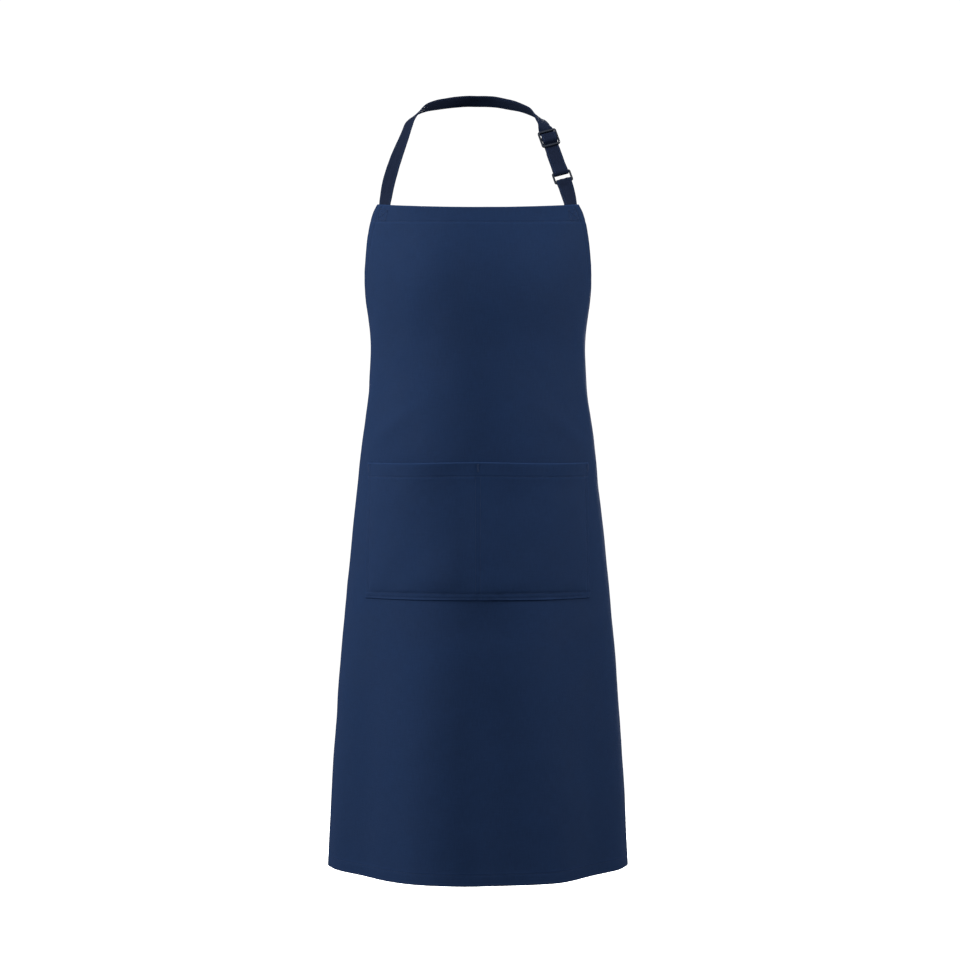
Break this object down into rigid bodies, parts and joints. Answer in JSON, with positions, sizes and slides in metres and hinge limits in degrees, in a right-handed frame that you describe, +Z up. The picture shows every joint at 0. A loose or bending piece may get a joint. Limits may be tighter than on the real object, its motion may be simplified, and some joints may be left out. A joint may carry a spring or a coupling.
{
  "type": "bib apron",
  "caption": "Adult cloth bib apron as worn: patch pocket split down the middle, neck strap with slider and square ring, waist ties tied in a bow.",
  "frame": {"origin": "where the inner face of the neck strap rests on the nape of the neck, midway round the neck", "axes": "+Z up, -Y the way the wearer faces, +X the wearer's left"},
  "size_m": [0.4156, 0.3035, 1.0596],
  "materials": {
    "twill": "matt cotton-rich twill, navy",
    "tape": "folded twill strap, navy",
    "thread": "dense polyester stitching, navy",
    "plastic": "moulded, faint sheen, near black",
    "label": "woven satin tape, white, blank"
  },
  "bodies": {
    "apron": {"front_panel": "twill", "pocket_panel": "twill", "armhole_facing_left": "twill", "armhole_facing_right": "twill", "pocket_bartack_left": "thread", "pocket_bartack_centre": "thread", "pocket_bartack_right": "thread", "neck_strap": "tape", "strap_upper_run": "tape", "strap_front_run": "tape", "strap_ring_loop": "tape", "strap_return_run": "tape", "ring_tab": "tape", "strap_stitch_left": "thread", "strap_stitch_right": "thread", "waist_tie_left": "tape", "waist_tie_right": "tape", "tie_stitch_left": "thread", "tie_stitch_right": "thread", "bow_knot": "tape", "bow_loop_left": "tape", "bow_loop_right": "tape", "tie_tail_left": "tape", "tie_tail_right": "tape", "care_label": "label"},
    "ring": {"square_ring": "plastic"},
    "slider_body": {"slider": "plastic", "strap_over_bar": "tape", "strap_end_loop": "tape", "strap_end_bartack": "thread"}
  },
  "joints": [
    {"name": "slider_travel", "type": "slide", "parent": "apron", "child": "slider_body", "axis": [-0.2758, 0.4438, 0.8527], "range_m": [-0.018, 0.012], "deforming": ["strap_upper_run", "strap_front_run", "strap_return_run"]},
    {"name": "ring_tilt", "type": "hinge", "parent": "apron", "child": "ring", "pos_m": [0.11534, -0.11628, -0.12261], "axis": [0.9605, 0.0926, 0.2624], "range_deg": [-3, 3]}
  ]
}
